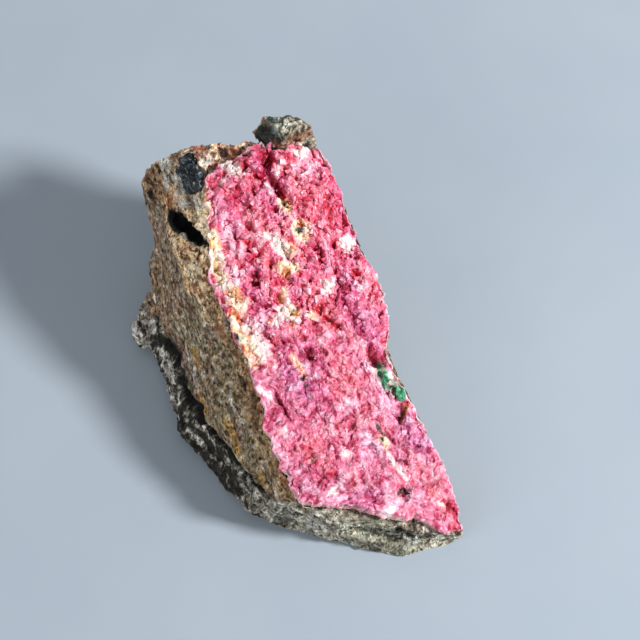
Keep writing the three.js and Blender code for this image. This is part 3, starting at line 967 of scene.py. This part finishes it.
def druse_tones(places, lift, pale=0.0):
    """The colour of the druse at places that stand lift millimetres above their surroundings.

    The druse is deepened in colour as painted shade where it lies low and in its hollows, paled as painted
    highlight where it stands up, and paler where it is pale.
    """
    flat = places * (1, 1, 0)
    edge = 0.5 * field(places, 1.3, 24, 4, 0.7)
    layers = (
        ("rose", 1.0, field(flat, 6, 21, 3), -0.35, 0.35),
        ("magenta", 0.6, field(flat, 8, 22, 3), 0.1, 0.6),
        ("blush", 0.65, field(flat, 3, 23, 3), 0.2, 0.7),
        ("blush", 0.2 * calm(places)),
        *patch_layers(places, ("coral", "mauve"), 0.5, edge),
        *patch_layers(places, ("magenta", "blush"), 0.7, edge),
    )
    colours = layered(np.array([PINKS["salmon"]]), PINKS, layers)
    colours[:, 0] *= 1 - 0.11 * calm(places)
    bright = ("white", "cream", "moss", "green", "orange")
    layers = patch_layers(places, bright, 0.95 - 0.2 * calm(places), edge)
    colours = layered(colours, PINKS, layers)
    # Painted shade: deeper colour where the druse lies low and in its hollows.
    depth = 0.92 + 0.1 * calm(places) + 1.2 * ramp(lift, 0.4, -1.2) + 0.9 * hollow_depth(places)
    depth += 1.1 * ramp(field(places, 2.2, 25, 3, 0.6), 0.15, 0.6)
    depth += 0.15 * ramp(places[:, 1], 18, 30)
    # Painted highlight: paler where the druse stands up; pale is its own paleness.
    depth -= 0.3 * ramp(lift, 0.4, 1.0) + pale
    colours = colours ** np.maximum(depth, 0.3)[:, None]
    return layered(colours, PINKS, patch_layers(places, ("umber", "soot"), 1.0, 0.6 * edge))


def make_crust():
    """The crust's base; also gives the points of its sides and the level of its top."""
    piece = remeshed(DRUSE, "druse_base", CRUST_VOXEL)
    mesh = piece.data
    points = points_of(mesh)
    outward = blurred(normals_of(mesh), edges_of(mesh), 6)
    up = normals_of(mesh)[:, 2]
    top = ramp(up, 0.1, 0.5)
    side = ramp(np.abs(up), 0.8, 0.4)
    sides = (points + edge_moves(points))[np.abs(up) < 0.35]
    height = crust_surface()(points) + crust_relief(points) + crust_ridges(points) - CRYSTAL_RISE
    points[:, 2] += top * (height - points[:, 2])
    crumple = np.stack([field(points, 1.3, seed, 2) for seed in (18, 19)], 1)
    points[:, :2] += 0.35 * top[:, None] * crumple
    points[:, 2] -= CRUST_SINK * ramp(up, -0.1, -0.5)
    points += (0.6 * side * field(points, 1.6, 20, 3))[:, None] * outward
    points += edge_moves(points)
    move_points(mesh, points)
    level = level_of(points[up > 0.3])
    layers = (
        # Blush on the crust's sides: partly their own pale colour and partly a painted highlight along the
        # lit rim.
        ("blush", 0.7 * side, field(points, 1.0, 26, 3, 0.7), -0.3, 0.3),
        ("cream", 0.9, up, 0.1, -0.3),
    )
    tones = druse_tones(points, top * (points[:, 2] - level(points)))
    paint(mesh, "tone", layered(tones, PINKS, layers))
    paint(mesh, "depth", np.ones(len(points)))
    box_map(mesh, outward)
    finish_piece(piece, DRUSE, druse_finish("druse_base", 0.45, 0.8))
    return piece, sides, level


def druse_finish(name, roughness, soft):
    """Translucent pink crystal; soft is how much of its light has spread beneath the surface."""
    finish = Finish(name, IOR=1.6, Specular_IOR_Level=0.3)
    depth = finish.steps(finish.noise(1.3, 4, 0.65), (0.3, 0.55), (0.7, 1.5))
    fine = finish.steps(finish.noise(0.4, 3, 0.7), (0.3, 0.8), (0.7, 1.25))
    depth = finish.math("MULTIPLY", depth, fine)
    depth = finish.math("MULTIPLY", depth, finish.read("depth"))
    finish.give("Base Color", finish.deepened(finish.read("tone", "Color"), depth))
    finish.give("Roughness", finish.steps(finish.noise(1.0, 3, 0.7), (0.35, 0.12), (0.6, roughness)))
    finish.give("Subsurface Weight", soft)
    finish.give("Subsurface Radius", (1.0, 1.0, 1.0))
    finish.give("Subsurface Scale", LIGHT_SPREAD * MM)
    finish.bump(finish.math("ADD", finish.grains(0.5), finish.noise(0.5, 4, 0.7)), 0.08)
    return finish.material


def rhombohedron():
    """Points and faces of a rhombohedron of half height 1 that stands on a corner."""
    turns = np.radians(np.arange(0, 360, 60))
    across = CRYSTAL_BREADTH * np.cos(turns), CRYSTAL_BREADTH * np.sin(turns)
    ring = np.stack([*across, np.tile([1, -1], 3) / 3], 1)
    points = np.concatenate([[[0, 0, 1]], ring, [[0, 0, -1]]])
    upper = [[0, 1 + i, 2 + i, 1 + (2 + i) % 6] for i in (0, 2, 4)]
    lower = [[7, 1 + (i + 2) % 6, 1 + (i + 1) % 6, 1 + i] for i in (1, 3, 5)]
    return points, np.array(upper + lower)


def crystal_map(template, faces, count):
    """Map places for crystals: the upper and the lower faces of each fill a square of their own."""
    rows = math.ceil(math.sqrt(2 * count))
    lower = (faces[None] == len(template) - 1).any(2, keepdims=True)
    square = 2 * np.arange(count)[:, None, None] + lower
    corner = np.stack([square % rows, square // rows], -1)
    flat = template[faces][..., :2][None] / CRYSTAL_SQUARE
    return ((corner + 0.5 + 0.5 * flat) / rows).reshape(-1, 2)


def directions(places, normals, spread, rng):
    """Turned axes for crystals that lean from the normals, much as their neighbours do."""
    trend = np.stack([field(places, 4.5, seed, 2) for seed in (71, 72, 73)], 1)
    z = unit(normals + spread * (1.6 * trend + rng.normal(0, 0.5, places.shape)))
    grain = np.stack([field(places, 6, seed, 1) for seed in (74, 75, 76)], 1)
    x = unit(np.cross(grain + rng.normal(0, 0.3, places.shape), z))
    return np.stack([x, np.cross(z, x), z], 2)


def scattered(mesh, spacing, steep, rng):
    """Places spread evenly at random where a mesh faces up by more than steep, and its normals."""
    mesh.calc_loop_triangles()
    corners = numbers(mesh.loop_triangles, "vertices", 3, np.int32)
    a, b, c = np.moveaxis(points_of(mesh)[corners], 1, 0)
    normal = np.cross(b - a, c - a)
    area = np.linalg.norm(normal, axis=1)
    normal /= np.maximum(area, 1e-9)[:, None]
    area = area * (normal[:, 2] > steep)
    count = int(CRYSTAL_TRIES * area.sum() / 2 / spacing**2)
    face = rng.choice(len(area), count, p=area / area.sum())
    share = np.sort(rng.random((count, 2)), axis=1)
    u, v, w = share[:, :1], share[:, 1:] - share[:, :1], 1 - share[:, 1:]
    places = u * a[face] + v * b[face] + w * c[face]
    _, first = np.unique(np.floor(places / spacing), axis=0, return_index=True)
    return places[first], normal[face[first]]


def rim_distance(sides, places):
    """How far each place is, seen from above, from the crust's sides."""
    tree = KDTree(len(sides))
    for index, side in enumerate(sides):
        tree.insert((side[0], side[1], 0), index)
    tree.balance()
    return np.array([tree.find((x, y, 0))[2] for x, y, _ in places.tolist()])


def crystal_points(layer, places, normals, rim, rng):
    """The corners of a chipped rhombohedron at each place; near the rim they sink downwards."""
    count = len(places)
    normals = unit(normals + 3 * ramp(rim, 1.6, 0.6)[:, None] * np.array((0, 0, 1)))
    size = layer["half"] * rng.uniform(0.75, 1.3, count) * (0.45 + 0.55 * ramp(rim, 0, 2.5))
    size *= 1.2 - 0.2 * calm(places)
    low, high = np.array(layer["shape"]).T
    stretch = rng.uniform(low, high, (count, 3))
    axes = directions(places, normals, layer["lean"], rng)
    template = rhombohedron()[0]
    chipped = template * rng.uniform(0.75, 1.25, (count, len(template), 1))
    chipped += rng.normal(0, 0.2, chipped.shape)
    local = chipped * (size[:, None] * stretch)[:, None, :]
    turned = np.einsum("nij,nkj->nki", axes, local)
    sunk = layer["sunk"] + rng.normal(0, 0.1, count) + 0.15 * calm(places) + 0.3 * ramp(rim, 1.2, 0)
    centres = places - normals * (size * stretch[:, 2] * sunk)[:, None]
    return (turned + centres[:, None, :]).reshape(-1, 3)


def make_crystals(name, base, sides, level, rng):
    """One layer of crystals, joined in one mesh, over the crust's base."""
    layer = CRYSTALS[name]
    places, normals = scattered(base.data, layer["spacing"], layer["steep"], rng)
    count = len(places)
    rim = rim_distance(sides, places)
    points = crystal_points(layer, places, normals, rim, rng)
    template, faces = rhombohedron()
    corners = (faces[None] + len(template) * np.arange(count)[:, None, None]).ravel()
    mesh = mesh_from("druse_" + name, points, corners, np.arange(0, len(corners), 4))
    # Paler near the rim: partly the crystals' own colour and partly a painted highlight along the lit rim.
    pale = layer["pale"] * rng.random(count) ** 2 + 0.5 * ramp(rim, 1.4, 0.2)
    tones = druse_tones(points, points[:, 2] - level(points), np.repeat(pale, len(template)))
    paint(mesh, "tone", tones)
    paint(mesh, "depth", rng.uniform(0.91, 1.09, len(faces) * count), "FACE")
    give_map(mesh, crystal_map(template, faces, count))
    return placed("druse_" + name, mesh)


def make_druse():
    base, sides, level = make_crust()
    rng = np.random.default_rng(CRYSTAL_SEED)
    material = druse_finish("pink_crystal", 0.5, 0.3)
    for name in CRYSTALS:
        piece = make_crystals(name, base, sides, level, rng)
        finish_piece(piece, DRUSE, material)


# ---------------- heterogenite and malachite

BUD_REACH = 0.75  # where a bud ends, in shares of its breadth

WIDER = (1.05, 1.3, 1.05)
AS_IS = (1, 1, 1)

# For each growth, in millimetres, its voxel, how wide and tall its buds are and how far it swells
# out of its solid; reach stretches it about its middle.
GROWTHS = {
    "heterogenite": dict(voxel=0.16, bud=1.2, height=0.6, swell=0.3, seed=81, reach=WIDER),
    "malachite_top": dict(voxel=0.1, bud=0.7, height=0.35, swell=-0.3, seed=83, reach=AS_IS),
    "malachite_low": dict(voxel=0.1, bud=0.7, height=0.35, swell=-0.1, seed=85, reach=AS_IS),
}


def make_growth(node, name, material):
    """A botryoidal growth: round buds over a solid."""
    growth = GROWTHS[name]
    bud, height, seed = growth["bud"], growth["height"], growth["seed"]
    piece = remeshed(node, name, growth["voxel"])
    mesh = piece.data
    points = points_of(mesh)
    points = points.mean(0) + (points - points.mean(0)) * growth["reach"]
    outward = unit(blurred(normals_of(mesh), edges_of(mesh), 4))
    near, _ = cells(points + 0.25 * bud * field(points, bud, seed, 2)[:, None], bud, seed)
    buds = height * (1 - (near / BUD_REACH) ** 2)
    lumps = growth["swell"] + 1.4 * height * field(points, 2.2 * bud, seed + 1, 3)
    wander = [field(points, 3 * bud, seed + place, 2) for place in (2, 3, 4)]
    points = points + outward * (buds + lumps)[:, None] + 0.8 * height * np.stack(wander, 1)
    move_points(mesh, points)
    # crown: 1 on a bud's top and 0 between buds, which the malachite uses for painted shade and highlight.
    paint(mesh, "crown", np.clip(1 - near / BUD_REACH, 0, 1))
    box_map(mesh, outward)
    finish_piece(piece, node, material)


def heterogenite_finish():
    finish = Finish("black_heterogenite", IOR=1.6, Specular_IOR_Level=0.35)
    crust = finish.noise(1.3, 4, 0.65, warp=0.8)
    # The blue and grey-blue steps are painted glints on the black crust.
    colour = finish.steps(
        crust,
        (0.4, srgb(4, 8, 9)),
        (0.56, srgb(12, 24, 26)),
        (0.62, srgb(22, 46, 84)),
        (0.68, srgb(70, 88, 96)),
    )
    # Painted highlights: pale glinting streaks.
    glint_streaks = finish.noise(0.7, 4, 0.75, stretch=(1, 2, 1), warp=1.4)
    colour = finish.mix(finish.steps(glint_streaks, (0.56, 0.0), (0.62, 0.85)), colour, srgb(176, 184, 186))
    finish.give("Base Color", colour)
    finish.give("Roughness", finish.steps(glint_streaks, (0.35, 0.15), (0.65, 0.55)))
    finish.bump(finish.noise(0.35, 4, 0.75), 0.3)
    return finish.material


def malachite_finish():
    finish = Finish("green_malachite", IOR=1.7)
    bands = finish.noise(0.7, 3, 0.6, warp=1.5)
    colour = finish.steps(
        bands,
        (0.34, srgb(4, 60, 44)),
        (0.5, srgb(22, 132, 88)),
        (0.6, srgb(70, 180, 130)),
        (0.7, srgb(196, 226, 206)),
    )
    # Painted shade between the buds and painted highlight on their crowns.
    crown = finish.steps(finish.read("crown"), (0.1, 0.6), (0.6, 1.3))
    finish.give("Base Color", finish.mix(0.6, colour, crown, "MULTIPLY"))
    finish.give("Roughness", finish.steps(bands, (0.3, 0.25), (0.7, 0.5)))
    finish.bump(finish.noise(0.25, 3, 0.7), 0.1)
    return finish.material


def make_growths():
    black = heterogenite_finish()
    make_growth("heterogenite_patch", "heterogenite", black)
    green = malachite_finish()
    make_growth("malachite_upper", "malachite_top", green)
    make_growth("malachite_lower", "malachite_low", green)


# ---------------- floor, lights and camera


def floor_finish():
    finish = Finish("pale_floor", Roughness=0.7)
    clouds = finish.noise(40, 3)
    finish.give("Base Color", finish.steps(clouds, (0.3, srgb(150, 162, 175)), (0.7, srgb(155, 167, 179))))
    return finish.material


def make_floor():
    mesh = bpy.data.meshes.new("floor")
    x = y = FLOOR_REACH * MM
    mesh.from_pydata([(-x, -y, 0), (x, -y, 0), (x, y, 0), (-x, y, 0)], [], [(0, 1, 2, 3)])
    mesh.materials.append(floor_finish())
    placed("floor", mesh)


def aimed(name, data, azimuth, elevation, distance, target=(0, 0, 0)):
    """A light or camera that looks at the target from a distance."""
    a, e = math.radians(azimuth), math.radians(elevation)
    direction = Vector((math.sin(a) * math.cos(e), -math.cos(a) * math.cos(e), math.sin(e)))
    holder = placed(name, data)
    holder.location = Vector(target) * MM + direction * distance * MM
    holder.rotation_euler = direction.to_track_quat("Z", "Y").to_euler()
    return holder


def make_lights():
    for name, values in LIGHTS.items():
        light = bpy.data.lights.new(name, "AREA")
        light.shape = "DISK"
        light.size = values["size"] * MM
        light.energy = values["watts"]
        light.color = values["colour"]
        aimed(name, light, values["azimuth"], values["elevation"], values["distance"])
    world = bpy.data.worlds.new("studio")
    bpy.context.scene.world = world
    world.use_nodes = True
    background = world.node_tree.nodes["Background"]
    background.inputs["Color"].default_value = SKY_COLOUR
    background.inputs["Strength"].default_value = SKY_STRENGTH


def make_camera():
    camera = bpy.data.cameras.new("camera")
    camera.lens = LENS
    camera.sensor_width = SENSOR
    camera.clip_start = NEAREST_SEEN * MM
    view = (VIEW_AZIMUTH, VIEW_ELEVATION, VIEW_DISTANCE, VIEW_TARGET)
    bpy.context.scene.camera = aimed("camera", camera, *view)


make_camera()
make_lights()
make_floor()
make_rock()
make_druse()
make_growths()
bpy.context.scene.view_settings.view_transform = "Standard"
